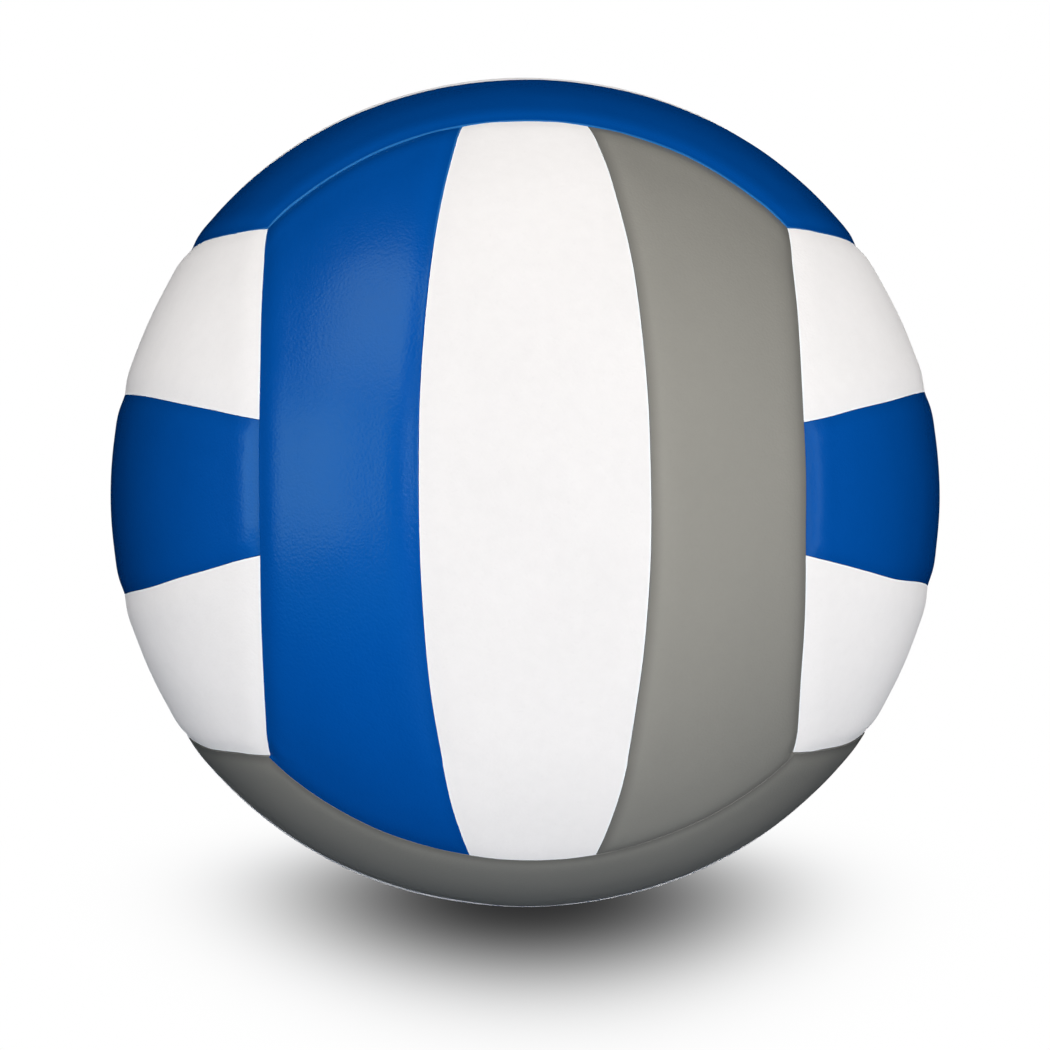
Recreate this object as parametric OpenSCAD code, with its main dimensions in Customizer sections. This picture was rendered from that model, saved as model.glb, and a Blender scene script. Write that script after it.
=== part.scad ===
// Indoor volleyball, size 5: eighteen glued panels in six faces of three strips, each panel on
// its own foam backing, over a rubber casing, a nylon winding and a butyl bladder with its valve.
// The origin is the ball's centre. The front face looks along -Y and the valve lies on +Y.

/* [Ball] */
// Diameter of the inflated ball, over the panels
ball_d = 210; // [150:1:240]
// Width of a face's centre strip at its widest, along the surface
centre_strip_w = 51; // [36:1:64]

/* [Panels] */
// Thickness of the synthetic leather
leather_t = 1; // [0.8:0.05:1.6]
// Gap between the edges of two neighbouring panels
seam_gap = 0.2; // [0.1:0.05:0.5]
// Width of the rounded shoulder along every edge of a panel
shoulder_w = 2.6; // [1.5:0.1:4]
// How far a panel's outer face has dropped at its cut edge
shoulder_drop = 0.65; // [0.3:0.05:0.75]

/* [Backing] */
// Thickness of the foam and cloth backing under each panel
backing_t = 1.5; // [0.8:0.1:3]
// How far the backing's edge stays in from the middle of the seam
backing_margin = 1.4; // [0.6:0.1:3]

/* [Carcass] */
// Thickness of the rubber casing that carries the panels
casing_t = 0.35; // [0.2:0.05:1]
// Thickness of the layer of nylon thread wound on the bladder
winding_t = 0.35; // [0.2:0.05:1]
// Thickness of the butyl bladder
bladder_t = 0.35; // [0.2:0.05:1]
// Bond line between two glued layers
bond_gap = 0.1; // [0.08:0.01:0.15]

/* [Valve housing] */
// Diameter of the stem that comes out through the cover
stem_d = 7; // [6:0.1:9]
// Gap round the stem in the holes of the cover and the carcass
stem_gap = 0.25; // [0.1:0.05:0.5]
// How far the stem's end lies below the outside of the ball
stem_sink = 0.5; // [0.2:0.05:0.8]
// Length of the valve, from the stem's end to its inner end
valve_l = 23; // [20:0.5:30]
// Diameter of the flange that is vulcanised inside the bladder
flange_d = 26; // [16:0.5:36]
// Thickness of that flange
flange_t = 1.2; // [0.8:0.1:2]
// Diameter of the nipple that stands into the bladder
nipple_d = 10; // [8.5:0.1:12]
// Diameter of the air passage below the core
air_hole_d = 2.4; // [1.5:0.1:3]

/* [Valve core] */
// Diameter of the soft plug that seals the housing
core_d = 4.4; // [3.6:0.1:5]
// Length of the plug
core_l = 15; // [11:0.5:18]
// How far the plug's end lies below the stem's end
core_sink = 0.3; // [0.1:0.05:0.8]
// Diameter of the collar that holds the plug in the housing
collar_d = 6; // [5.4:0.1:7]
// Length of the collar
collar_l = 3; // [2:0.1:4]
// Depth of the collar's outer side below the plug's end
collar_depth = 7; // [5.5:0.1:8]
// Gap round the plug in the housing
core_gap = 0.05; // [0.02:0.01:0.1]
// Diameter of the hole that guides an inflating needle
needle_hole_d = 2.2; // [1.6:0.05:2.6]
// Depth of that hole, down to the closed slit
needle_hole_l = 8; // [5:0.5:10]

/* [Hidden] */
$fn = 180;
ball_r = ball_d / 2;
// A face is as wide as the side of a cube whose corners lie on the ball, so each of its edges
// is a circle in a plane square to X, Y or Z
face_angle = acos(1 / sqrt(3));
strip_angle = surface_angle(centre_strip_w / 2);
seam_inset = seam_gap / 2;
// Cones and wedges reach well past the outside of the ball
reach = ball_d;

leather_in_r = ball_r - leather_t;
backing_out_r = leather_in_r - bond_gap;
backing_in_r = backing_out_r - backing_t;
casing_out_r = backing_in_r - bond_gap;
casing_in_r = casing_out_r - casing_t;
winding_out_r = casing_in_r - bond_gap;
winding_in_r = winding_out_r - winding_t;
bladder_out_r = winding_in_r - bond_gap;
bladder_in_r = bladder_out_r - bladder_t;
flange_out_r = bladder_in_r - bond_gap;
flange_in_r = flange_out_r - flange_t;

// The valve's pieces, measured outwards from the ball's centre
stem_top = ball_r - stem_sink;
nipple_end = stem_top - valve_l;
core_top = stem_top - core_sink;
core_end = core_top - core_l;
collar_top = core_top - collar_depth;
collar_end = collar_top - collar_l;

// Half way up the shoulder: shares of its width and of its drop
shoulder_mid_w_share = 0.32;
shoulder_mid_drop_share = 0.36;

blue = [0.02, 0.25, 0.66];
white = [0.95, 0.95, 0.94];
grey = [0.56, 0.56, 0.55];
foam = [0.86, 0.84, 0.78];
natural_rubber = [0.16, 0.15, 0.15];
thread = [0.9, 0.9, 0.86];
butyl = [0.1, 0.1, 0.11];
valve_rubber = [0.22, 0.22, 0.23];
core_rubber = [0.78, 0.76, 0.7];

// Each face: its name, the turn that takes +Z to its middle, and its strips from -X to +X
// before that turn
faces = [
    ["front", [90, 0, 0], ["left", "centre", "right"], [blue, white, grey]],
    ["back", [-90, 0, 0], ["left", "centre", "right"], [blue, white, grey]],
    ["left", [0, -90, 0], ["lower", "middle", "upper"], [white, blue, white]],
    ["right", [0, 90, 0], ["upper", "middle", "lower"], [white, blue, white]],
    ["top", [0, 0, 90], ["front", "middle", "rear"], [blue, white, grey]],
    ["bottom", [180, 0, 90], ["front", "middle", "rear"], [grey, white, blue]]
];
strips = [0, 1, 2];
valve_face = "back";

function strip_name(face, strip, layer) = str(face[0], "_", face[2][strip], "_", layer);
function surface_angle(length) = length / ball_r * 180 / PI;
function polar(r, angle) = [r * sin(angle), r * cos(angle)];

// Hollow sphere with its poles on X, away from +Z and from every strip's edges
module shell_round_z(outer_r, inner_r) {
    rotate([0, 90, 0])
    difference() {
        sphere(r = outer_r);
        sphere(r = inner_r);
    }
}

// Hollow sphere with its poles on Z, away from the valve
module layer_shell(outer_r, inner_r) {
    difference() {
        sphere(r = outer_r);
        sphere(r = inner_r);
    }
}

// Cone about +Z with its tip at the centre
module radial_cone(angle) {
    cylinder(h = reach, r1 = 0, r2 = reach * tan(angle));
}

// Wedge along Y between two angles, both measured from +Z towards +X
module radial_wedge(from_angle, to_angle) {
    rotate([90, 0, 0])
    linear_extrude(height = 2 * reach, center = true)
    polygon([[0, 0], polar(2 * reach, from_angle), polar(2 * reach, to_angle)]);
}

// One strip of the face round +Z, with each edge drawn in by the inset
module strip_blank(strip, outer_r, inner_r, inset) {
    side = strip - 1;
    inset_angle = surface_angle(inset);
    difference() {
        intersection() {
            shell_round_z(outer_r, inner_r);
            radial_cone(face_angle - inset_angle);
            if (side == 0)
                radial_wedge(inset_angle - strip_angle, strip_angle - inset_angle);
            else
                scale([side, 1, 1])
                radial_wedge(strip_angle + inset_angle, face_angle);
        }
        if (side != 0)
            rotate([0, side * 90, 0])
            radial_cone(face_angle + inset_angle);
    }
}

// Point of a shoulder's outline, given as [how far along the surface from the wall, how deep]
function shoulder_point(wall_angle, place) =
    polar(ball_r - place[1], wall_angle - surface_angle(place[0]));

// Ball through two points of a shoulder's outline, centred on the axis of the circle that the
// edge follows. The axis leans by the turn from +Z towards +X, and the wall is at an angle to it.
module shoulder_dome(turn, wall_angle, start, end) {
    a = shoulder_point(wall_angle, start);
    b = shoulder_point(wall_angle, end);
    centre = (a * a - b * b) / (2 * (a[1] - b[1]));
    translate([centre * sin(turn), 0, centre * cos(turn)])
    rotate([0, 90, 0])
    sphere(r = norm(a - [0, centre]));
}

// Rounds the child along one edge, with a steep slope at the wall and a gentle one above it
module rounded_along(turn, wall_angle) {
    wall_foot = [0, shoulder_drop];
    middle = [shoulder_w * shoulder_mid_w_share, shoulder_drop * shoulder_mid_drop_share];
    top = [shoulder_w, 0];
    intersection() {
        children();
        shoulder_dome(turn, wall_angle, wall_foot, middle);
        shoulder_dome(turn, wall_angle, middle, top);
    }
}

// A strip with its shoulders: its two sides, then both its ends at once
module rounded_strip(strip) {
    side = strip - 1;
    inset_angle = surface_angle(seam_inset);
    seam_wall = 90 - inset_angle;
    long_wall = 180 - face_angle - inset_angle;
    end_wall = face_angle - inset_angle;
    if (side == 0)
        rounded_along(0, end_wall)
        rounded_along(90 - strip_angle, seam_wall)
        rounded_along(strip_angle - 90, seam_wall)
        strip_blank(strip, ball_r, leather_in_r, seam_inset);
    else
        rounded_along(0, end_wall)
        rounded_along(-side * 90, long_wall)
        rounded_along(side * (90 + strip_angle), seam_wall)
        strip_blank(strip, ball_r, leather_in_r, seam_inset);
}

// Straight way for the valve stem, along +Z
module stem_way() {
    cylinder(h = reach, d = stem_d + 2 * stem_gap);
}

// Keeps the child only on the strip that the valve comes out through
module only_at_valve(face, strip) {
    if (face[0] == valve_face && strip == 1) children();
}

// Strip of synthetic leather, in its own colour
module panel(face, strip) {
    color(face[3][strip])
    rotate(face[1])
    difference() {
        rounded_strip(strip);
        only_at_valve(face, strip) stem_way();
    }
}

// Foam under a panel, a little narrower than the panel all round
module backing(face, strip) {
    color(foam)
    rotate(face[1])
    difference() {
        strip_blank(strip, backing_out_r, backing_in_r, backing_margin);
        only_at_valve(face, strip) stem_way();
    }
}

// A closed layer of the carcass, with the hole for the valve stem
module carcass_layer(outer_r, inner_r) {
    difference() {
        layer_shell(outer_r, inner_r);
        rotate([-90, 0, 0]) stem_way();
    }
}

module casing() {
    color(natural_rubber) carcass_layer(casing_out_r, casing_in_r);
}

module winding() {
    color(thread) carcass_layer(winding_out_r, winding_in_r);
}

module bladder() {
    color(butyl) carcass_layer(bladder_out_r, bladder_in_r);
}

// The plug's outline, grown by a gap all round
module core_profile(gap) {
    translate([0, 0, core_end - gap])
    cylinder(h = core_l + gap, d = core_d + 2 * gap);
    translate([0, 0, collar_end - gap])
    cylinder(h = collar_l + 2 * gap, d = collar_d + 2 * gap);
}

// Stem, flange and nipple in one moulding, bored for the core and for the air
module valve_housing() {
    color(valve_rubber)
    rotate([-90, 0, 0])
    difference() {
        union() {
            intersection() {
                shell_round_z(flange_out_r, flange_in_r);
                cylinder(h = reach, d = flange_d);
            }
            translate([0, 0, flange_in_r - flange_t])
            cylinder(h = stem_top - flange_in_r + flange_t, d = stem_d);
            translate([0, 0, nipple_end])
            cylinder(h = flange_in_r - nipple_end, d = nipple_d);
        }
        core_profile(core_gap);
        translate([0, 0, core_top - core_gap])
        cylinder(h = reach, d = core_d + 2 * core_gap);
        cylinder(h = reach, d = air_hole_d);
    }
}

// Soft plug with its collar, and the needle's hole from its outer end
module valve_core() {
    color(core_rubber)
    rotate([-90, 0, 0])
    difference() {
        core_profile(0);
        translate([0, 0, core_top - needle_hole_l])
        cylinder(h = reach, d = needle_hole_d);
    }
}

for (face = faces) for (strip = strips) {
    panel(face, strip);
    backing(face, strip);
}
casing();
winding();
bladder();
valve_housing();
valve_core();
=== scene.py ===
import bpy
import numpy as np
from mathutils import Matrix, Vector


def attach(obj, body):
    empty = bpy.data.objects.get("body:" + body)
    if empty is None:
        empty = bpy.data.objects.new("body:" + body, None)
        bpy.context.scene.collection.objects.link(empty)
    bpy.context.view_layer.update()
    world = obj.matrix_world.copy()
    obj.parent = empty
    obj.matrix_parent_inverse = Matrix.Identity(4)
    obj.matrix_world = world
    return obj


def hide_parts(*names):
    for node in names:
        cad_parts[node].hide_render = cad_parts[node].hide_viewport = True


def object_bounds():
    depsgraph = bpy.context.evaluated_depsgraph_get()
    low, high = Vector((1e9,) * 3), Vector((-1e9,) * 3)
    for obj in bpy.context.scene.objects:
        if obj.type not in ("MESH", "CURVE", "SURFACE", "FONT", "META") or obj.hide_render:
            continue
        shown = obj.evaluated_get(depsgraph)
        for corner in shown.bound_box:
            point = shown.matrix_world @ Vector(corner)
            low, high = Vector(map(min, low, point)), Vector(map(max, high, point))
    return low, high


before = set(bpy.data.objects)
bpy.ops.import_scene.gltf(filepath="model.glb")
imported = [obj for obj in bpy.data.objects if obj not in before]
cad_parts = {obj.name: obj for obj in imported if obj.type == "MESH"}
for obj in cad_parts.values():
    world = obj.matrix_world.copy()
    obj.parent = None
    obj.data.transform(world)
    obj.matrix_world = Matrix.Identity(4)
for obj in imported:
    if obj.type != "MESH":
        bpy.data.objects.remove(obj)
cadLow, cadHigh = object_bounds()
mm = 0.001
ballRadius = (cadHigh.z - cadLow.z) / 2
print("frame loaded,", len(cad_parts), "nodes, radius", round(ballRadius / mm, 2), "mm")

shot = {
    "pictureSize": 1050,         # pixels on each side
    "ballX": 525,                # pixel column of the ball's centre
    "ballY": 493,                # pixel row of the ball's centre
    "distance": 0.609,           # lens to the ball's centre
    "lens": 81.2,
    "sensor": 36,
    "yaw": 1.36,                 # how the ball stands turned before the lens
    "pitch": -1.02,
    "roll": -0.33,
    "nearest": 0.01,             # what the lens sees at all
    "furthest": 50,
}


def linked(name, data):
    # New object in the scene for a mesh, a lamp or a camera
    made = bpy.data.objects.new(name, data)
    bpy.context.scene.collection.objects.link(made)
    return made


def addCamera():
    # The ball is turned by Rz(yaw) Rx(pitch) Ry(roll) before a level lens, so the camera gets
    # the inverse of that turn and the ball stays in its own frame
    turn = Matrix.Rotation(np.radians(shot["yaw"]), 3, "Z")
    turn = turn @ Matrix.Rotation(np.radians(shot["pitch"]), 3, "X")
    turn = turn @ Matrix.Rotation(np.radians(shot["roll"]), 3, "Y")
    turn.transpose()
    lens = bpy.data.cameras.new("camera")
    lens.lens = shot["lens"]
    lens.sensor_width = shot["sensor"]
    middle = shot["pictureSize"] / 2
    lens.shift_x = (middle - shot["ballX"]) / shot["pictureSize"]
    lens.shift_y = (shot["ballY"] - middle) / shot["pictureSize"]
    lens.clip_start = shot["nearest"]
    lens.clip_end = shot["furthest"]
    camera = linked("camera", lens)
    basis = Matrix((turn.col[0], turn.col[2], -turn.col[1])).transposed().to_4x4()
    basis.translation = turn.col[1] * -shot["distance"]
    camera.matrix_world = basis
    bpy.context.scene.camera = camera


class Signal:
    # One output of a node tree: + - * / and ** on it add the Math node that does the sum
    def __init__(self, tree, socket):
        self.tree = tree
        self.socket = socket

    def __add__(self, other):
        return self.tree.maths("ADD", self, other)

    def __sub__(self, other):
        return self.tree.maths("SUBTRACT", self, other)

    def __rsub__(self, other):
        return self.tree.maths("SUBTRACT", other, self)

    def __mul__(self, other):
        return self.tree.maths("MULTIPLY", self, other)

    def __truediv__(self, other):
        return self.tree.maths("DIVIDE", self, other)

    def __pow__(self, other):
        return self.tree.maths("POWER", self, other)

    __radd__ = __add__
    __rmul__ = __mul__


class NodeSheet:
    # A shader node tree that is written as expressions
    def __init__(self, owner):
        owner.use_nodes = True
        self.tree = owner.node_tree
        self.tree.nodes.clear()

    def node(self, kind, settings=None, inputs=None, output=0):
        # Type, then settings, then the values or links of its sockets
        made = self.tree.nodes.new("ShaderNode" + kind)
        for name, value in (settings or {}).items():
            setattr(made, name, value)
        for key, value in (inputs or {}).items():
            if isinstance(value, Signal):
                self.tree.links.new(value.socket, made.inputs[key])
            else:
                made.inputs[key].default_value = value
        return Signal(self, made.outputs[output]) if made.outputs else made

    def maths(self, operation, first, second=0.0):
        return self.node("Math", {"operation": operation}, {0: first, 1: second})

    def smooth(self, value, start, end):
        # 0 at start and 1 at end, eased at both
        return self.node(
            "MapRange", {"interpolation_type": "SMOOTHSTEP"},
            {"Value": value, "From Min": start, "From Max": end},
        )

    def blend(self, share, first, second):
        # The colour inputs of a Mix node are its sockets 6 and 7, and its colour output is 2
        return self.node(
            "Mix", {"data_type": "RGBA"}, {0: share, 6: first, 7: second}, output=2
        )

    def scaled(self, colour, shade):
        # A fixed colour times a varying shade
        return self.node("VectorMath", {"operation": "SCALE"}, {0: colour, "Scale": shade})

    def along(self, axis, vector):
        # One coordinate of a vector
        return self.node("SeparateXYZ", None, {0: vector}, output="XYZ".index(axis))

    def attribute(self, name):
        return self.node("Attribute", {"attribute_name": name}, output="Fac")

    def place(self):
        return self.node("TexCoord", output="Object")

    def noise(self, place, scale, detail=2.0, roughness=0.5):
        return self.node(
            "TexNoise", None,
            {"Vector": place, "Scale": scale, "Detail": detail, "Roughness": roughness},
        )

    def cells(self, place, scale, feature="F1", randomness=1.0):
        return self.node(
            "TexVoronoi", {"feature": feature},
            {"Vector": place, "Scale": scale, "Randomness": randomness}, output="Distance",
        )

    def output(self, shader):
        self.node("OutputMaterial", None, {"Surface": shader})

    def finish(self, base, roughness, height, extra=None):
        # The principled shader as the material's output, with a bump from a height in metres
        bump = self.node("Bump", None, {"Strength": 1.0, "Distance": 1.0, "Height": height})
        inputs = {"Base Color": base, "Roughness": roughness, "Normal": bump, **(extra or {})}
        self.output(self.node("BsdfPrincipled", None, inputs))


def newMaterial(name):
    # The material, its sheet of nodes, and the place on the piece that its patterns follow
    material = bpy.data.materials.new(name)
    sheet = NodeSheet(material)
    return material, sheet, sheet.place()


leatherFinish = {
    "grainCell": 0.56 * mm,      # size of one pebble of the grain
    "grainDepth": 0.042 * mm,
    "poreCell": 0.3 * mm,
    "poreDepth": 0.006 * mm,
    "creaseStart": 0.55,         # how far from a pebble's middle its crease of painted shade starts and ends
    "creaseEnd": 0.95,
    "creaseShade": 0.03,
    "driftScale": 38,            # noise over a whole panel, per metre
    "patchScale": 320,           # noise over a few pebbles
    "patchRoughness": 0.6,
    "noiseDetail": 3,
    "roughnessSwing": 0.06,
    "shadeSwing": 0.05,          # how much the colour drifts over a panel
    "edgeWidth": 0.35,           # millimetres of the fine line at the cut edge, a painted highlight or painted shade by leather
    "edgeStrength": 1.4,         # over 1, the line is full for a little way before it fades
    "edgeLineRise": 10 * mm,         # height over which the line sets in
    "wornRoughness": 0.25,
    "cutColour": (0.62, 0.62, 0.60, 1),
    "cutStart": 0.25,            # share of the way down the wall at which the bare cut begins
    "cutFull": 0.6,
    "seamShadeWidth": 3.0,           # millimetres from a seam over which painted shade darkens the groove
}
# Each leather: its colour, the colour of the fine line at its cut edge (a painted highlight on
# the white, painted shade on the grey, a paler line on the blue), its gloss, how powdery it looks
# in plain light, how strong that line is and above which height it shows (-1 is everywhere), and
# how much painted shade darkens it along a seam
leatherColours = {
    "leather_blue": {
        "colour": (0.0, 0.0985, 0.462), "edge": (0.05, 0.36, 0.78), "roughness": 0.25,
        "ior": 1.5, "shine": 0.75, "shineColour": (0.57, 1.0, 0.64), "powder": 0.12,
        "worn": 0.35, "edgeLineAbove": 50 * mm, "seamShade": 0.08,
    },
    "leather_white": {
        "colour": (0.885, 0.88, 0.875), "edge": (0.93, 0.97, 0.99), "roughness": 0.45,
        "ior": 1.5, "shine": 0.12, "shineColour": (1.0, 1.0, 1.0), "powder": 0.8,
        "worn": 1.0, "edgeLineAbove": -1, "seamShade": 0.0,
    },
    "leather_grey": {
        "colour": (0.326, 0.321, 0.288), "edge": (0.20, 0.20, 0.19), "roughness": 0.38,
        "ior": 1.5, "shine": 0.2, "shineColour": (1.0, 1.0, 1.0), "powder": 0.0,
        "worn": 0.6, "edgeLineAbove": -1, "seamShade": 0.28,
    },
}


def leatherMaterial(slot):
    # Pebbled grain over fine pores with painted shade in its creases, a slow drift of shade and
    # gloss, painted shade that darkens the leather along each seam, and a fine line at the cut
    # edge:
    # a painted highlight on the white, painted shade on the grey and a paler line on the blue. The
    # attributes say how far the nearest seam is, how near the cut edge and how deep under the outer
    # skin the surface lies.
    look = leatherFinish
    dye = leatherColours[slot]
    material, sheet, place = newMaterial(slot)
    grain = sheet.cells(place, 1 / look["grainCell"], "SMOOTH_F1")
    pores = sheet.cells(place, 1 / look["poreCell"])
    drift = sheet.noise(place, look["driftScale"], look["noiseDetail"]) - 0.5
    patches = sheet.noise(
        place, look["patchScale"], look["noiseDetail"], look["patchRoughness"]
    ) - 0.5
    seam = sheet.attribute("seamDistance")
    under = sheet.attribute("underside")

    shade = 1 + drift * look["shadeSwing"] + patches * look["shadeSwing"]
    # Painted shade: the grain is darkened in the creases between pebbles
    crease = sheet.smooth(grain, look["creaseStart"], look["creaseEnd"])
    shade = shade - crease * look["creaseShade"]
    # Painted shade: darkens the leather near each seam, most on the grey and not at all on the
    # white
    shade = shade - (1 - sheet.smooth(seam, 0, look["seamShadeWidth"])) * dye["seamShade"]
    # Painted highlight on the white and painted shade on the grey: the edge colour along the cut
    # edge, and on the blue a paler line only above 50 mm
    edge = sheet.attribute("cutEdge") * dye["worn"]
    edgeLineFull = dye["edgeLineAbove"] + look["edgeLineRise"]
    edge = edge * sheet.smooth(sheet.along("Z", place), dye["edgeLineAbove"], edgeLineFull)
    base = sheet.blend(edge, sheet.scaled(dye["colour"], shade), (*dye["edge"], 1))
    bare = sheet.smooth(under, look["cutStart"], look["cutFull"])
    base = sheet.blend(bare, base, look["cutColour"])

    roughness = dye["roughness"] + drift * look["roughnessSwing"]
    roughness = roughness + patches * look["roughnessSwing"] + edge * look["wornRoughness"]
    height = (1 - grain) * look["grainDepth"] + pores * look["poreDepth"]
    sheet.finish(base, roughness, height, {
        "IOR": dye["ior"],
        "Specular IOR Level": dye["shine"],
        "Specular Tint": (*dye["shineColour"], 1),
        "Diffuse Roughness": dye["powder"],
    })
    return material


foam = {
    "colour": (0.71, 0.68, 0.57),
    "poreCell": 0.45 * mm,
    "poreDepth": 0.05 * mm,
    "poreStart": 0.1,            # how far from a pore's middle its wall starts and ends
    "poreEnd": 0.6,
    "weave": 0.5 * mm,           # pitch of the cloth that faces the foam
    "weaveDepth": 0.02 * mm,
    "weaveRandomness": 0.15,
    "driftScale": 60,
    "driftDetail": 4,
    "shade": 0.86,               # then what the drift and the pores add to it, the pores as painted shade darker in their hollows
    "driftShade": 0.2,
    "poreShade": 0.08,
    "roughness": 0.88,
    "driftRoughness": 0.1,
    "shine": 0.2,
}


def foamMaterial():
    # Open pores painted darker in their hollows as painted shade, with the faint weave of the
    # facing cloth and a yellowed drift
    look = foam
    material, sheet, place = newMaterial("backing_foam")
    bubbles = sheet.cells(place, 1 / look["poreCell"])
    pores = sheet.smooth(bubbles, look["poreStart"], look["poreEnd"])
    yarns = sheet.cells(place, 1 / look["weave"], "F1", look["weaveRandomness"])
    drift = sheet.noise(place, look["driftScale"], look["driftDetail"])
    shade = look["shade"] + drift * look["driftShade"] + pores * look["poreShade"]
    roughness = look["roughness"] + drift * look["driftRoughness"]
    height = pores * look["poreDepth"] + yarns * look["weaveDepth"]
    base = sheet.scaled(look["colour"], shade)
    sheet.finish(base, roughness, height, {"Specular IOR Level": look["shine"]})
    return material


thread = {
    "colour": (0.78, 0.78, 0.71),
    "pitch": 1.1 * mm,           # between neighbouring turns
    "depth": 0.12 * mm,
    "headings": ((1, 0.2, 0.3), (-0.3, 1, 0.5), (0.4, -0.5, 1), (0.8, 0.7, -0.6)),
    "lyingScale": 45,            # noise per metre that says which turns lie on top
    "lyingScaleStep": 7,         # and how much finer it gets with each heading
    "lyingLeast": 0.45,
    "lyingSwing": 0.8,
    "darkest": 0.45,             # painted shade between the turns, and the painted light that a turn on top adds to it
    "turnShade": 0.55,
    "turnStart": 0.15,
    "turnFull": 0.8,
    "roughness": 0.62,
}


def threadMaterial():
    # Turns of thread in several headings. Along each heading the turns follow a sine, noise
    # says where that heading lies on top, and the highest one shows. Painted shade darkens the
    # colour between the turns, and painted light brightens their tops.
    look = thread
    material, sheet, place = newMaterial("winding_thread")
    top = 0.0
    for turn, heading in enumerate(look["headings"]):
        axis = Vector(heading).normalized() * np.pi / look["pitch"]
        along = sheet.node("VectorMath", {"operation": "DOT_PRODUCT"}, {0: place, 1: axis}, "Value")
        strands = sheet.maths("ABSOLUTE", sheet.maths("SINE", along))
        lying = sheet.noise(place, look["lyingScale"] + look["lyingScaleStep"] * turn, 1)
        lifted = strands * (look["lyingLeast"] + lying * look["lyingSwing"])
        top = sheet.maths("MAXIMUM", top, lifted)
    lit = sheet.smooth(top, look["turnStart"], look["turnFull"])
    base = sheet.scaled(look["colour"], look["darkest"] + lit * look["turnShade"])
    sheet.finish(base, look["roughness"], top * look["depth"])
    return material


rubberFinish = {
    "grainDetail": 3,
    "grainRoughness": 0.6,
    "dustColour": (0.60, 0.59, 0.56, 1),
    "dustScale": 90,             # noise per metre that the dust follows
    "dustDetail": 5,
    "dustRoughness": 0.65,
    "dustStart": 0.45,
    "dustFull": 0.8,
    "dustDulling": 0.5,          # roughness that full dust adds
}
# Colour, roughness, size and depth of the mould's grain, and how much pale dust lies on it
rubbers = {
    "casing_rubber": ((0.022, 0.020, 0.020), 0.60, 0.9 * mm, 0.02 * mm, 0.25),
    "bladder_butyl": ((0.010, 0.010, 0.012), 0.48, 1.6 * mm, 0.02 * mm, 0.35),
    "valve_rubber": ((0.040, 0.040, 0.043), 0.50, 0.35 * mm, 0.006 * mm, 0.10),
    "valve_core_rubber": ((0.57, 0.54, 0.45), 0.45, 0.30 * mm, 0.005 * mm, 0.05),
}


def rubberMaterial(slot):
    # Fine mould grain with dust that lies in patches and dulls the rubber
    look = rubberFinish
    colour, roughness, grainSize, grainDepth, dust = rubbers[slot]
    material, sheet, place = newMaterial(slot)
    grain = sheet.noise(place, 1 / grainSize, look["grainDetail"], look["grainRoughness"])
    patches = sheet.noise(place, look["dustScale"], look["dustDetail"], look["dustRoughness"])
    dusty = sheet.smooth(patches, look["dustStart"], look["dustFull"]) * dust
    base = sheet.blend(dusty, (*colour, 1), look["dustColour"])
    sheet.finish(base, roughness + dusty * look["dustDulling"], grain * grainDepth)
    return material


cover = {
    "centreStripWidth": 51 * mm,     # along the surface, at its widest
    "thickness": 1.0 * mm,
    "halfGap": 0.04 * mm,            # from a panel's wall to the middle of its seam
    "rimWidth": 0.35 * mm,           # the rounded rim of a panel
    "rimDepth": 0.10 * mm,
    "squareness": 0.0048,            # share of the radius that the face edges stand proud
    "sway": 0.13 * mm,               # how far the seams wander sideways
    "swayLength": 30 * mm,
    "ripple": 0.016 * mm,            # unevenness of the surface
    "rippleLength": 13 * mm,
    "underneath": 0.3,               # share of the shoulders left on the bottom face
    "swellPlace": 1.3,               # shoulder widths from the edge to the swelling's middle
    "swellSpread": 0.55,
}
# Shoulder along each kind of edge: its width, how far the surface has sunk at the edge, how
# much its steepest part leans towards the edge, and the swelling just inside it
shoulders = {
    "seam": (5.0 * mm, 0.42 * mm, 1.2, 0.12 * mm),
    "long": (4.6 * mm, 0.50 * mm, 1.25, 0.10 * mm),
    "end": (4.8 * mm, 0.66 * mm, 1.25, 0.16 * mm),
}
backing = {
    "thickness": 1.5 * mm,
    "bond": 0.1 * mm,                # glue between two layers
    "inset": 1.4 * mm,               # from its edge to the middle of the seam
    "rimWidth": 0.4 * mm,
    "rimDepth": 0.3 * mm,
}
# Grids of the two kinds of sheet: distance between lines inside, and the finer lines that
# thicken by a power towards each edge over a width
panelGrid = {"step": 1.9 * mm, "rows": 15, "width": 8.0 * mm, "power": 2.1}
backingGrid = {"step": 4.4 * mm, "rows": 4, "width": 2.4 * mm, "power": 1.8}
# A face is bounded by circles in planes square to the axes, as wide as a cube whose corners
# lie on the ball
faceAngle = np.arccos(1 / np.sqrt(3))
stripAngle = cover["centreStripWidth"] / 2 / ballRadius
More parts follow.
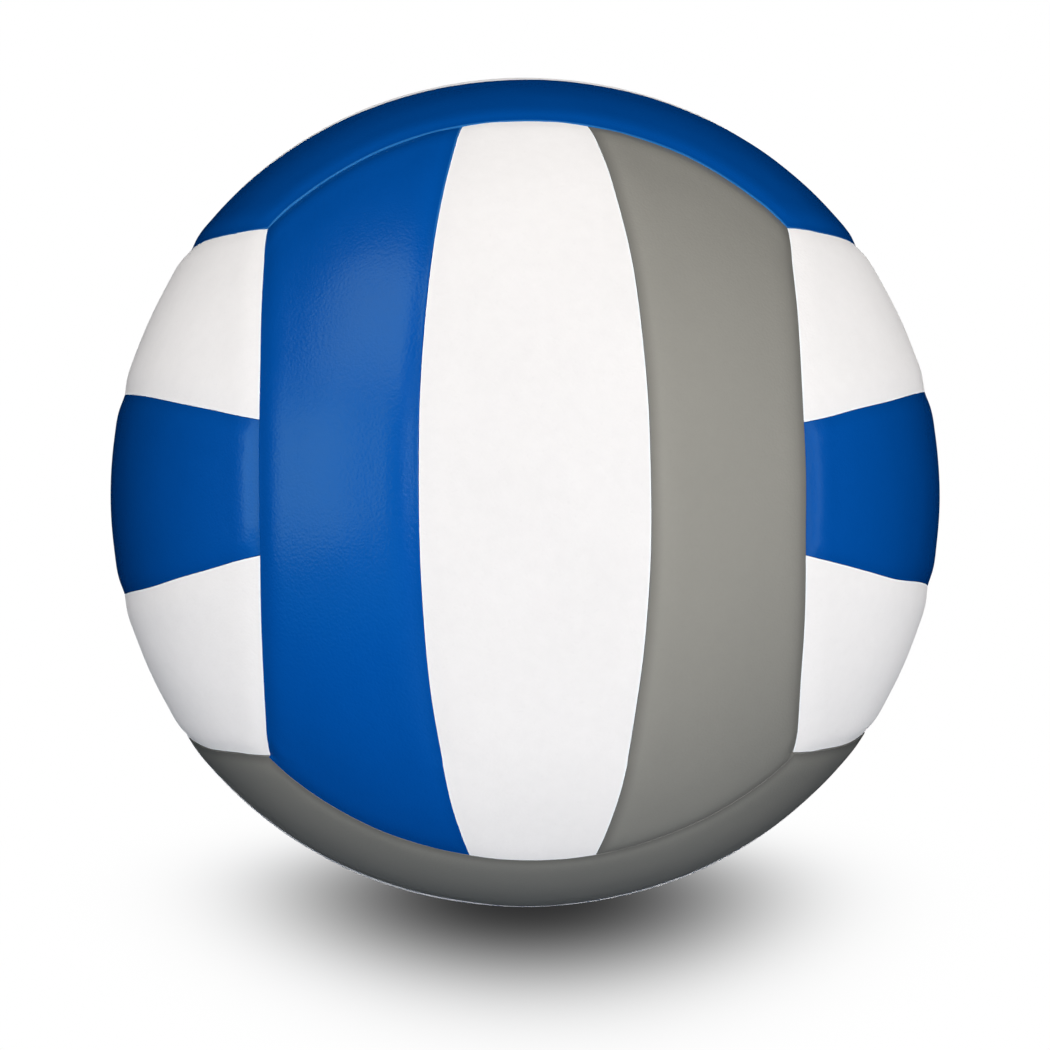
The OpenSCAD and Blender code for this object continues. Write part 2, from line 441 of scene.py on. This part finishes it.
# Each face: which way it looks, which way its strips follow each other, and the strips
faces = {
    "front": ((0, -1, 0), (1, 0, 0), ("left", "centre", "right"), ("blue", "white", "grey")),
    "back": ((0, 1, 0), (1, 0, 0), ("left", "centre", "right"), ("blue", "white", "grey")),
    "left": ((-1, 0, 0), (0, 0, 1), ("lower", "middle", "upper"), ("white", "blue", "white")),
    "right": ((1, 0, 0), (0, 0, -1), ("upper", "middle", "lower"), ("white", "blue", "white")),
    "top": ((0, 0, 1), (0, 1, 0), ("front", "middle", "rear"), ("blue", "white", "grey")),
    "bottom": ((0, 0, -1), (0, 1, 0), ("front", "middle", "rear"), ("grey", "white", "blue")),
}
valvePanel = ("back", 0)
valve = {
    "holeRadius": 3.75 * mm,
    "lipWidth": 0.6 * mm,
    "lipDepth": 0.3 * mm,
    "dimpleWidth": 3.2 * mm,
    "dimpleDepth": 0.16 * mm,
    "patchReach": 11.4 * mm,         # half the width of the square of grid cells round the hole
    "patchRows": 16,
    "patchPower": 2.2,               # how much the rows thicken towards the hole
    "calmWidth": 12 * mm,            # round the hole, over which the sway fades out
}


def waveField(seed, length, count=14, shortest=0.8, longest=1.5):
    # Sum of plane sine waves in random directions, scaled to a spread of about one. The wave
    # lengths lie between the shortest and the longest share of the length.
    draw = np.random.default_rng(seed)
    heading = draw.normal(size=(count, 3))
    heading /= np.linalg.norm(heading, axis=1, keepdims=True)
    heading *= 2 * np.pi / (length * draw.uniform(shortest, longest, (count, 1)))
    phase = draw.uniform(0, 2 * np.pi, count)
    return lambda points: np.sin(points @ heading.T + phase).sum(1) * np.sqrt(2 / count)


# Where the cover lies off its true place: degrees to the right of the front and above the
# middle, reach in degrees, then how far it is pushed out, right and up, in millimetres
unevenness = [
    (46, 0, 26, 0, 0, -1.2),
    (40, 30, 20, 0, -1.4, -0.5),
    (12, 55, 16, 0, -1.1, -0.3),
    (18, 0, 30, 0, -0.4, 0),
    (15, -54, 12, 0, -0.5, 0),
    (44, -34, 12, 0, 0.6, 0),
    (-42, -36, 11, 0, -0.9, 0),
    (-48, -38, 18, 0, 0, -1.0),
    (48, -38, 17, 0, 0, -1.3),
    (39, 10, 5, 0, 0, -0.45),
    (44, -13, 8, 0, 0, 0.25),
    (70, -13, 16, 0, 0, 1.0),
    (39, -26, 16, 0, 0.45, 0),
    (40, 18, 10, 0, 0.3, 0),
    (-39, 10, 5, 0, 0, -0.45),
    (-39, -10, 5, 0, 0, 0.45),
    (-56, -12, 14, 0, 0, -0.3),
    (-38, -25, 16, 0, -0.4, 0),
    (-38, 26, 14, 0, -0.25, 0),
    (-15, 3, 10, 0, 0.3, 0),
    (-14, -18, 8, 0, -0.25, 0),
    (-8, -54, 7, 0, 0.3, 0),
    (15, -18, 9, 0, -0.3, 0),
    (9, -54, 7, 0, -0.3, 0),
    (-66, -37, 8, 0, 0, -1.0),
    (66, -37, 8, 0, 0, -1.1),
    (-66, 37, 8, 0, 0, -0.2),
    (64, 37, 8, 0, 0, -0.2),
    (0, -77, 9, 0.25, 0, -3.2),
    (0, -90, 13, -1.1, 0, 0),
    (90, 26, 15, -1.1, 0, 0),
    (90, 47, 12, -0.4, 0, 0),
    (90, -36, 9, 0.3, 0, 0),
    (-90, 26, 14, -1.0, 0, 0),
    (-90, -25, 10, -0.4, 0, 0),
    (-90, -36, 9, 0.5, 0, 0),
]
swayFields = [waveField(seed, cover["swayLength"]) for seed in (11, 12, 13)]
rippleField = waveField(21, cover["rippleLength"])


def seamAcross(side, latitude, inset):
    # Angle across at which a strip's inner seam lies, drawn away from the seam by the inset
    away = np.arcsin(np.sin(inset) / np.cos(latitude))
    return stripAngle - away if side == 0 else stripAngle + away


def outerAcross(latitude, inset):
    # Angle across at which the face's long edge lies, a circle round the across axis
    return np.arcsin(np.cos(faceAngle + inset) / np.cos(latitude))


def endLatitude(across, inset):
    # Latitude at which the face's end lies, a circle round the face's own axis
    return np.arccos(np.cos(faceAngle - inset) / np.cos(across))


def cornerAcross(edge, inset, passes=80):
    # Angle across at which a side meets the end: each pass goes half the way to where the side
    # lies at the end's latitude, and so settles on the crossing
    across = stripAngle
    for _ in range(passes):
        across = (across + edge(endLatitude(across, inset))) / 2
    return across


def gridShares(span, grid):
    # Places from 0 to 1 across a span: rows that thicken by a power towards both edges, even
    # rows between them
    rim = grid["width"] * (np.arange(grid["rows"] + 1) / grid["rows"]) ** grid["power"]
    inner = int(np.ceil((span - 2 * grid["width"]) / grid["step"] / 2)) * 2
    middle = np.linspace(grid["width"], span - grid["width"], inner + 1)[1:-1]
    return np.concatenate([rim, middle, span - rim[::-1]]) / span


def stripDirections(side, inset, grid):
    # Unit vectors of a strip in its face's frame: x across, y along, z out. Angle across runs
    # evenly between the two sides, and latitude runs evenly between the two ends.
    def inner(latitude):
        return seamAcross(side, latitude, inset)

    def mirrored(latitude):
        return -inner(latitude)

    def outer(latitude):
        return outerAcross(latitude, inset)

    low, high = (inner, outer) if side else (mirrored, inner)
    corners = [cornerAcross(inner, inset), cornerAcross(outer, inset)]
    if side == 0:
        corners = [-corners[0], corners[0]]
    width = (high(0.0) - low(0.0)) * ballRadius
    length = 2 * endLatitude(corners[0], inset) * ballRadius
    across = gridShares(width, grid)[:, None]
    along = gridShares(length, grid)[None, :] * 2 - 1
    endAcross = corners[0] + (corners[1] - corners[0]) * across
    latitude = along * endLatitude(endAcross, inset)
    start = low(along * endLatitude(corners[0], inset))
    stop = high(along * endLatitude(corners[1], inset))
    angle = start + (stop - start) * across
    if side < 0:
        angle = -angle[::-1]
        latitude = latitude[::-1]
    ring = np.cos(latitude)
    return np.stack([ring * np.sin(angle), np.sin(latitude), ring * np.cos(angle)], -1)


def edgeDistances(side, directions, inset):
    # Arc from each direction to the strip's edges, less the inset, one row per edge: planes
    # through the along axis for the seams, circles round the axes for the face's own edges
    x, y, z = directions.T
    across = x * (side or 1)
    ends = faceAngle - np.arccos(np.clip(z, -1, 1))
    if side:
        seam = np.arcsin(across * np.cos(stripAngle) - z * np.sin(stripAngle))
        sides = [seam, np.arccos(np.clip(across, -1, 1)) - faceAngle]
    else:
        sides = [
            np.arcsin(z * np.sin(stripAngle) - x * np.cos(stripAngle)),
            np.arcsin(z * np.sin(stripAngle) + x * np.cos(stripAngle)),
        ]
    return np.maximum(np.stack([*sides, ends]) - inset, 0) * ballRadius


def roundedRim(distance, width, depth):
    # Quarter of an ellipse: level at its width, upright at the wall
    share = np.clip(1 - distance / width, 0, 1)
    return depth * (1 - np.sqrt(np.maximum(1 - share**2, 0)))


def joined(depths):
    # Depths of the edges that meet at a corner, as the cube root of the sum of cubes
    return np.cbrt((depths**3).sum(0))


def edgeKinds(side):
    # The shoulder values of a strip's three edges as columns, one row per edge
    kinds = [shoulders[kind] for kind in ("seam", "long" if side else "seam", "end")]
    return [np.array(column)[:, None] for column in zip(*kinds)]


def sunk(side, distances):
    # Each edge sinks by an S-shaped slope of how near it is, and by its rounded rim, and
    # stands proud by a bell just inside the slope
    width, depth, lean, swell = edgeKinds(side)
    near = np.clip(1 - distances / width, 0, 1) ** lean
    slope = depth * near**2 * (3 - 2 * near)
    fromRidge = (distances - cover["swellPlace"] * width) / (cover["swellSpread"] * width)
    ridge = swell * np.exp(-(fromRidge**2))
    rim = roundedRim(distances, cover["rimWidth"], cover["rimDepth"])
    return joined(slope) + joined(rim) - ridge.max(0)


def outerRadius(side, directions, distances, holeDistance):
    # Ball, a little fuller towards the cube's edges, plus ripple, less what sinks at the edges
    squareness = 2 * (1 - (directions**4).sum(1))
    depth = sunk(side, distances)
    depth = np.where(directions[:, 2] < -np.cos(faceAngle), depth * cover["underneath"], depth)
    radius = ballRadius * (1 + cover["squareness"] * squareness) - depth
    radius = radius + cover["ripple"] * rippleField(directions * ballRadius)
    if holeDistance is not None:
        dimple = np.exp(-((holeDistance / valve["dimpleWidth"]) ** 2))
        radius = radius - roundedRim(holeDistance, valve["lipWidth"], valve["lipDepth"])
        radius = radius - valve["dimpleDepth"] * dimple
    return radius


def pushed(directions, outward):
    # Sum of the pushes, each faded by a bell curve of the angle from its own middle. Outward
    # gives only the part along the radius, and otherwise only the part along the surface.
    total = np.zeros_like(directions)
    for azimuth, elevation, reach, *push in unevenness:
        around = np.radians(azimuth)
        lift = np.radians(elevation)
        right = np.array([np.cos(around), np.sin(around), 0])
        out = np.array([np.sin(around), -np.cos(around), 0]) * np.cos(lift)
        out[2] = np.sin(lift)
        up = np.cross(out, right)
        angle = np.degrees(np.arccos(np.clip(directions @ out, -1, 1)))
        fade = np.exp(-((angle / reach) ** 2))[:, None] * mm
        total += fade * (out * push[0] if outward else right * push[1] + up * push[2])
    return total


def loopOf(block):
    # Indices round the rim of a block of the grid, against the clock seen from outside
    return np.concatenate([block[:-1, 0], block[-1, :-1], block[:0:-1, -1], block[0, :0:-1]])


def quadsBetween(first, second):
    # Closed band of quads between two loops
    return np.stack([first, second, np.roll(second, -1), np.roll(first, -1)], 1)


def sheetOf(side, inset, gridLook, hasHole):
    # The strip as a grid of directions with its quads, its outer loop and, for the valve, the
    # hole's loop: a square of cells gives way to rings that shrink onto the hole's circle
    grid = stripDirections(side, inset, gridLook)
    rows, columns = grid.shape[:2]
    index = np.arange(rows * columns).reshape(rows, columns)
    keep = np.ones((rows - 1, columns - 1), bool)
    directions = grid.reshape(-1, 3)
    hole = None
    extra = []
    if hasHole:
        half = int(np.ceil(valve["patchReach"] / gridLook["step"]))
        top = rows // 2 - half
        left = columns // 2 - half
        width = 2 * half
        keep[top:top + width, left:left + width] = False
        rim = loopOf(index[top:top + width + 1, left:left + width + 1])
        square = directions[rim]
        azimuth = np.arctan2(square[:, 1], square[:, 0])
        start = valve["holeRadius"] / ballRadius
        stop = np.arccos(square[:, 2])
        shares = (np.arange(valve["patchRows"]) / valve["patchRows"])[:, None]
        polar = start + (stop - start) * shares ** valve["patchPower"]
        rings = np.stack(
            [np.sin(polar) * np.cos(azimuth), np.sin(polar) * np.sin(azimuth), np.cos(polar)], -1
        )
        numbers = len(directions) + np.arange(polar.size).reshape(polar.shape)
        directions = np.concatenate([directions, rings.reshape(-1, 3)])
        loops = [*numbers, rim]
        extra = [quadsBetween(a, b) for a, b in zip(loops, loops[1:])]
        hole = numbers[0]
    corners = [index[:-1, :-1], index[1:, :-1], index[1:, 1:], index[:-1, 1:]]
    quads = np.stack([corner[keep] for corner in corners], 1)
    return directions, np.concatenate([quads, *extra]), loopOf(index), hole


def compact(points, quads, fields):
    # Drops the points that no quad uses
    used = np.zeros(len(points), bool)
    used[quads] = True
    renumber = np.cumsum(used) - 1
    return points[used], renumber[quads], {name: values[used] for name, values in fields.items()}


def meshObject(name, points, polygons, fields=None):
    # Smooth mesh with one attribute for each field, whose values follow the points
    mesh = bpy.data.meshes.new(name)
    mesh.from_pydata(points, [], polygons)
    mesh.polygons.foreach_set("use_smooth", np.ones(len(polygons), bool))
    for field, values in (fields or {}).items():
        mesh.attributes.new(field, "FLOAT", "POINT").data.foreach_set("value", values)
    mesh.validate()
    mesh.update()
    return linked(name, mesh)


def dress(piece, node, slot):
    # The piece rides on the ball, stands for its node and takes the slot's material
    piece.data.materials.append(finishes[slot])
    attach(piece, "root")
    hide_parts(node)


def addSheet(face, strip, inset, gridLook, layer):
    # Closed shell of one strip: outer surface, inner surface and the wall round the edge. The
    # layer gives, for the directions in the face's frame and on the ball, both surfaces and
    # the fields that the material reads.
    out, across = (np.array(axis, float) for axis in faces[face][:2])
    side = strip - 1
    hasHole = (face, side) == valvePanel
    local, quads, rim, hole = sheetOf(side, inset, gridLook, hasHole)
    directions = local @ np.stack([across, np.cross(out, across), out])
    holeDistance = None
    if hasHole:
        polar = np.arccos(np.clip(local[:, 2], -1, 1))
        holeDistance = np.maximum(polar * ballRadius - valve["holeRadius"], 0)
    outer, inner, fields = layer(side, local, directions, holeDistance)
    count = len(local)
    bands = [quads, quads[:, ::-1] + count, quadsBetween(rim, rim + count)]
    if hasHole:
        bands.append(quadsBetween(hole + count, hole))
    points = np.concatenate([outer, inner])
    points, polygons, fields = compact(points, np.concatenate(bands), fields)
    return points, polygons.tolist(), fields


def leatherLayer(side, local, directions, holeDistance):
    # The sunk outer surface over a plain inner one, both pushed and swayed with the cover
    distances = edgeDistances(side, local, cover["halfGap"] / ballRadius)
    outer = directions * outerRadius(side, directions, distances, holeDistance)[:, None]
    outer = outer + pushed(directions, True)
    inner = directions * (ballRadius - cover["thickness"]) + pushed(directions, True)
    points = np.concatenate([outer, inner])
    unit = np.concatenate([directions, directions])
    sway = np.stack([field(points) for field in swayFields], 1) * cover["sway"]
    sway += pushed(unit, False)
    sway -= unit * (sway * unit).sum(1, keepdims=True)
    nearest = distances.min(0) / mm
    # Share of the fine edge line that the material paints: a painted highlight on the white,
    # painted shade on the grey, a paler line on the blue
    worn = leatherFinish["edgeStrength"] - nearest / leatherFinish["edgeWidth"]
    worn = np.clip(worn, 0, 1)
    if holeDistance is not None:
        calm = np.concatenate([holeDistance, holeDistance]) / valve["calmWidth"]
        sway *= np.clip(calm, 0, 1)[:, None]
        nearest = np.minimum(nearest, holeDistance / mm)
    points = points + sway
    fields = {
        "seamDistance": np.concatenate([nearest, nearest]),
        "cutEdge": np.concatenate([worn, worn]),
        "underside": np.repeat([0.0, 1.0], len(local)),
    }
    return points[:len(local)], points[len(local):], fields


def backingLayer(side, local, directions, holeDistance):
    # Softened at the outer rim, and squeezed where the cover is pushed in
    distances = edgeDistances(side, local, backing["inset"] / ballRadius)
    if holeDistance is not None:
        distances = np.concatenate([distances, holeDistance[None]])
    top = ballRadius - cover["thickness"] - backing["bond"]
    rim = joined(roundedRim(distances, backing["rimWidth"], backing["rimDepth"]))
    outer = directions * (top - rim)[:, None] + pushed(directions, True)
    return outer, directions * (top - backing["thickness"]), {}


def addCover():
    # A leather and its backing for each strip of each face
    for face, (_, _, stripNames, colours) in faces.items():
        for strip, (stripName, colour) in enumerate(zip(stripNames, colours)):
            base = f"{face}_{stripName}"
            sheet = addSheet(face, strip, cover["halfGap"] / ballRadius, panelGrid, leatherLayer)
            dress(meshObject(base + "_leather", *sheet), base + "_panel", "leather_" + colour)
            sheet = addSheet(face, strip, backing["inset"] / ballRadius, backingGrid, backingLayer)
            dress(meshObject(base + "_foam", *sheet), base + "_backing", "backing_foam")


def turned(name, outline, segments):
    # The outline, as (radius, height) pairs, turned about the Y axis: the point at angle a is
    # (radius sin a, height, radius cos a). An outline whose ends lie on the axis gets a fan at
    # each, and any other is a closed ring.
    outline = np.asarray(outline, float)
    hasPoles = outline[0, 0] < 1e-9
    radius, height = (outline[1:-1] if hasPoles else outline).T[:, :, None]
    angle = np.arange(segments) * 2 * np.pi / segments
    rings = np.stack([radius * np.sin(angle), height + 0 * angle, radius * np.cos(angle)], -1)
    count = len(rings)
    index = np.arange(count * segments).reshape(count, segments)
    bands = [quadsBetween(index[i + 1], index[i]) for i in range(count - 1)]
    points = rings.reshape(-1, 3)
    if not hasPoles:
        bands.append(quadsBetween(index[0], index[-1]))
        return meshObject(name, points, np.concatenate(bands).tolist())
    poles = np.array([[0, outline[0, 1], 0], [0, outline[-1, 1], 0]])
    first = np.full(segments, len(points))
    fans = [
        np.stack([first, np.roll(index[0], -1), index[0]], 1),
        np.stack([first + 1, index[-1], np.roll(index[-1], -1)], 1),
    ]
    every = np.concatenate(bands).tolist() + np.concatenate(fans).tolist()
    return meshObject(name, np.concatenate([points, poles]), every)


def eased(corners, steps=6):
    # Every corner, given as radius, height and cut in millimetres, is cut back on both sides
    # and bridged by a parabola that leaves along them. Corners without a cut stay as they are.
    corners = np.array(corners, float)
    places, cut = corners[:, :2] * mm, corners[:, 2:] * mm
    before = np.roll(places, 1, 0) - places
    after = np.roll(places, -1, 0) - places
    start = places + before / np.linalg.norm(before, axis=1, keepdims=True) * cut
    end = places + after / np.linalg.norm(after, axis=1, keepdims=True) * cut
    t = np.linspace(0, 1, steps)[:, None, None]
    curve = ((1 - t) ** 2 * start + 2 * t * (1 - t) * places + t**2 * end).transpose(1, 0, 2)
    keep = np.ones(curve.shape[:2], bool)
    keep[cut[:, 0] == 0, 1:] = False
    return curve[keep]


# Layers of the carcass: outer and inner radius in millimetres
layers = {
    "casing": ("casing_skin", "casing_rubber", 102.30, 101.95),
    "winding": ("winding_threads", "winding_thread", 101.85, 101.50),
    "bladder": ("bladder_skin", "bladder_butyl", 101.40, 101.05),
}
layerLook = {"rows": 80, "segments": 144}


def addCarcass():
    # Each layer is an arc over the ball from its far pole to the valve's hole, and an arc back
    for node, (name, slot, outer, inner) in layers.items():
        arcs = []
        for radius in (outer * mm, inner * mm):
            angle = np.linspace(np.pi, np.arcsin(valve["holeRadius"] / radius), layerLook["rows"])
            arcs.append(radius * np.stack([np.sin(angle), np.cos(angle)], 1))
        outline = np.concatenate([arcs[0], arcs[1][::-1]])
        outline[[0, -1], 0] = 0
        dress(turned(name, outline, layerLook["segments"]), node, slot)


# Millimetres, and every height is from the ball's centre
housing = {
    "top": 104.5,
    "stemRadius": 3.5,
    "stemDrop": 0.02,            # from the mouth to the outer edge of the stem's end
    "mouthRadius": 2.85,
    "mouthDepth": 0.55,
    "boreRadius": 2.25,
    "boreEnd": 89.15,
    "pocket": (3.05, 94.15, 97.25),      # radius, lower and upper end
    "airRadius": 1.2,
    "flangeRadius": 13.0,
    "flangeLayers": (100.95, 99.75),     # radii of its upper and lower sphere
    "flangeWaistShare": 0.7,     # share of the flange's radius at which it starts to thin
    "flangeCrownShare": 0.65,
    "flangeLip": 0.5,            # how much thinner the flange is at its edge
    "nippleRadius": 5.0,
    "nippleEnd": 81.5,
    "nippleTaper": 0.5,
    "nippleTaperHeight": 4,
    "segments": 96,
}


def rise(layer, radius):
    # Height at which a sphere of the layer's radius passes over this distance from the axis
    return np.sqrt(layer**2 - radius**2)


def addHousing():
    # One outline turned about the valve's axis: down the bore with its pocket and the air
    # passage, round the nipple and the flange, and up the stem
    look = housing
    upper, lower = look["flangeLayers"]
    wide, low, high = look["pocket"]
    bore = look["boreRadius"]
    stem = look["stemRadius"]
    nipple = look["nippleRadius"]
    flange = look["flangeRadius"]
    waist = flange * look["flangeWaistShare"]
    crown = flange * look["flangeCrownShare"]
    outline = eased([
        (look["mouthRadius"], look["top"], 0.15),
        (bore, look["top"] - look["mouthDepth"], 0.2),
        (bore, high, 0.1),
        (wide, high, 0.1),
        (wide, low, 0.1),
        (bore, low, 0.1),
        (bore, look["boreEnd"], 0.1),
        (look["airRadius"], look["boreEnd"], 0.1),
        (look["airRadius"], look["nippleEnd"], 0.3),
        (nipple - look["nippleTaper"], look["nippleEnd"], 0.7),
        (nipple, look["nippleEnd"] + look["nippleTaperHeight"], 1.2),
        (nipple, rise(lower, nipple), 0.9),
        (waist, rise(lower, waist), 0.6),
        (flange, rise(lower, flange) + look["flangeLip"], 0.3),
        (flange, rise(upper, flange), 0.2),
        (crown, rise(upper, crown), 0.6),
        (stem, rise(upper, stem), 0.15),
        (stem, look["top"] - look["stemDrop"], 0.32),
    ])
    moulding = turned("valve_moulding", outline, look["segments"])
    dress(moulding, "valve_housing", "valve_rubber")


core = {
    "top": 104.2,
    "radius": 2.2,
    "domeDrop": 0.12,            # from the funnel's rim to the outer edge of the core's end
    "collar": (3.0, 94.2, 97.2),         # radius, lower and upper end
    "end": 89.2,
    "funnelRadius": 1.55,
    "funnelDepth": 0.9,
    "needleRadius": 1.1,
    "needleEnd": 96.2,
    "segments": 64,
}


def addCore():
    # One outline turned about the valve's axis: up the needle's hole, over the funnel and down
    # the plug's side with its collar
    look = core
    wide, low, high = look["collar"]
    needle = look["needleRadius"]
    outline = eased([
        (0, look["needleEnd"], 0),
        (needle, look["needleEnd"], 0.2),
        (needle, look["top"] - look["funnelDepth"], 0.35),
        (look["funnelRadius"], look["top"], 0.2),
        (look["radius"], look["top"] - look["domeDrop"], 0.25),
        (look["radius"], high, 0.1),
        (wide, high, 0.2),
        (wide, low, 0.2),
        (look["radius"], low, 0.1),
        (look["radius"], look["end"], 0.35),
        (0, look["end"], 0),
    ])
    plug = turned("valve_plug", outline[::-1], look["segments"])
    dress(plug, "valve_core", "valve_core_rubber")


# Lamps: place in metres, width, height, radiance, colour, and whether they give plain light or
# only a gleam on what is glossy. They all face the ball.
lamps = {
    "key": ((0.067, -1.686, 0.207), 0.9, 0.9, 10.7, (1.0, 0.965, 0.935), "plain"),
    "rear_key_left": ((-0.44, 1.64, -0.13), 0.9, 0.9, 5.6, (1.0, 0.965, 0.935), "plain"),
    "rear_key_right": ((0.35, 1.66, -0.13), 0.9, 0.9, 5.6, (1.0, 0.965, 0.935), "plain"),
    "bounce": ((0.0, -1.131, -1.131), 1.2, 1.2, 0.68, (0.52, 0.72, 1.0), "plain"),
    "left_softbox_upper": ((-1.266, -1.296, 1.599), 1.54, 1.50, 0.98, (1.0, 1.0, 1.0), "gleam"),
    "left_softbox_lower": ((-1.901, -1.322, 0.182), 1.18, 1.34, 0.86, (1.0, 1.0, 1.0), "gleam"),
    "left_sheen": ((-1.705, -1.535, -0.16), 1.9, 2.4, 0.22, (0.2, 0.88, 1.0), "gleam"),
    "right_softbox": ((1.93, -1.03, 0.19), 0.60, 3.1, 0.58, (1.0, 1.0, 1.0), "gleam"),
}


def addLamps():
    # Energy is pi times area times radiance, so the radiance says how bright the lamp looks
    for name, (place, width, height, radiance, colour, use) in lamps.items():
        light = bpy.data.lights.new(name, "AREA")
        light.shape = "RECTANGLE"
        light.size = width
        light.size_y = height
        light.energy = np.pi * width * height * radiance
        light.color = colour
        lamp = linked(name, light)
        lamp.location = place
        lamp.rotation_euler = (-Vector(place)).to_track_quat("-Z", "Y").to_euler()
        lamp.visible_camera = False
        lamp.visible_diffuse = use == "plain"
        lamp.visible_glossy = use == "gleam"


studio = {
    "ambient": 0.05,
    "ambientColour": (0.85, 1.0, 1.35, 1),
}


def addWorld():
    # A dim, cool and even room that the gloss doesn't show, plain white to the camera
    world = bpy.data.worlds.new("studio")
    bpy.context.scene.world = world
    sheet = NodeSheet(world)
    seen = sheet.maths(
        "MAXIMUM", sheet.node("LightPath", output="Is Camera Ray"),
        sheet.node("LightPath", output="Is Transmission Ray"),
    )
    strength = studio["ambient"] * (1 - seen) + seen
    colour = sheet.blend(seen, studio["ambientColour"], (1, 1, 1, 1))
    background = sheet.node("Background", None, {"Color": colour, "Strength": strength})
    sheet.node("OutputWorld", None, {"Surface": background})
    world.cycles_visibility.glossy = False


floorLook = {
    "size": 12,
    "albedo": 0.80,
    "shadowX": 0.0,              # middle of the painted shadow, and how far it reaches each way
    "shadowY": 0.008,
    "reachX": 0.106,
    "reachY": 0.208,
    "fan": 1.64,                 # how much wider the painted shadow gets for every metre further back
    "softness": 0.63,            # share of the reach at which the painted shadow has faded by two thirds
    "steepness": 3.1,
    "shadowPaintAlbedo": 0.012,        # what the painted shadow leaves of the floor's own colour
    "albedoPower": 4,            # how late the floor's own colour comes back with the white
    "shadowPaintGlow": 0.030,          # glow that sets the painted shadow's level where no light falls
}


def addFloor():
    # Matt floor that takes the ball's real shadow over a painted shadow: inside an oval under the
    # ball its colour is painted dark and a faint glow sets the painted shadow's level, and outside
    # it the floor turns to plain white for the camera. The reach is the distance from the middle of
    # the painted shadow over its half width, and the cover of white is 1 less the exponential of
    # minus a power of it.
    look = floorLook
    size = look["size"]
    corners = [(-size, -size), (size, -size), (size, size), (-size, size)]
    points = np.array([(x, y, -ballRadius) for x, y in corners])
    floor = meshObject("floor", points, [[0, 1, 2, 3]])
    material = bpy.data.materials.new("white_floor")
    sheet = NodeSheet(material)
    moved = sheet.node(
        "VectorMath", {"operation": "SUBTRACT"},
        {0: sheet.place(), 1: (look["shadowX"], look["shadowY"], -ballRadius)},
    )
    aside = sheet.along("X", moved)
    back = sheet.along("Y", moved)
    aside = aside / (look["reachX"] + back * (look["reachX"] * look["fan"]))
    back = back / look["reachY"]
    reach = (aside * aside + back * back) ** 0.5
    fade = 1 - sheet.maths("POWER", np.exp(-1), (reach / look["softness"]) ** look["steepness"])
    seen = sheet.node("LightPath", output="Is Camera Ray")
    lit = fade ** look["albedoPower"]
    # Painted shadow: the floor's colour is dark inside the oval and comes back outside it
    shade = look["shadowPaintAlbedo"] + (look["albedo"] - look["shadowPaintAlbedo"]) * lit
    colour = sheet.node("CombineColor", None, {0: shade, 1: shade, 2: shade})
    plain = sheet.node("BsdfDiffuse", None, {"Color": colour})
    white = sheet.node("Emission", None, {"Color": (1, 1, 1, 1), "Strength": 1.0})
    # Painted shadow level: a faint glow in the shadow where no lamp reaches
    glow = sheet.node("Emission", None, {"Color": (1, 1, 1, 1), "Strength": look["shadowPaintGlow"]})
    plain = sheet.node("AddShader", None, {0: plain, 1: glow})
    sheet.output(sheet.node("MixShader", None, {0: fade * seen, 1: plain, 2: white}))
    floor.data.materials.append(material)
    floor.visible_diffuse = False
    floor.visible_glossy = False
    floor.visible_shadow = False


addCamera()
print("camera placed")
finishes = {slot: leatherMaterial(slot) for slot in leatherColours}
finishes["backing_foam"] = foamMaterial()
finishes["winding_thread"] = threadMaterial()
finishes.update({slot: rubberMaterial(slot) for slot in rubbers})
print("finishes made")
addCover()
print("panels and backings laid")
addCarcass()
addHousing()
addCore()
print("carcass and valve made")
addLamps()
addWorld()
addFloor()
bpy.context.scene.view_settings.view_transform = "Standard"
print("studio lit")
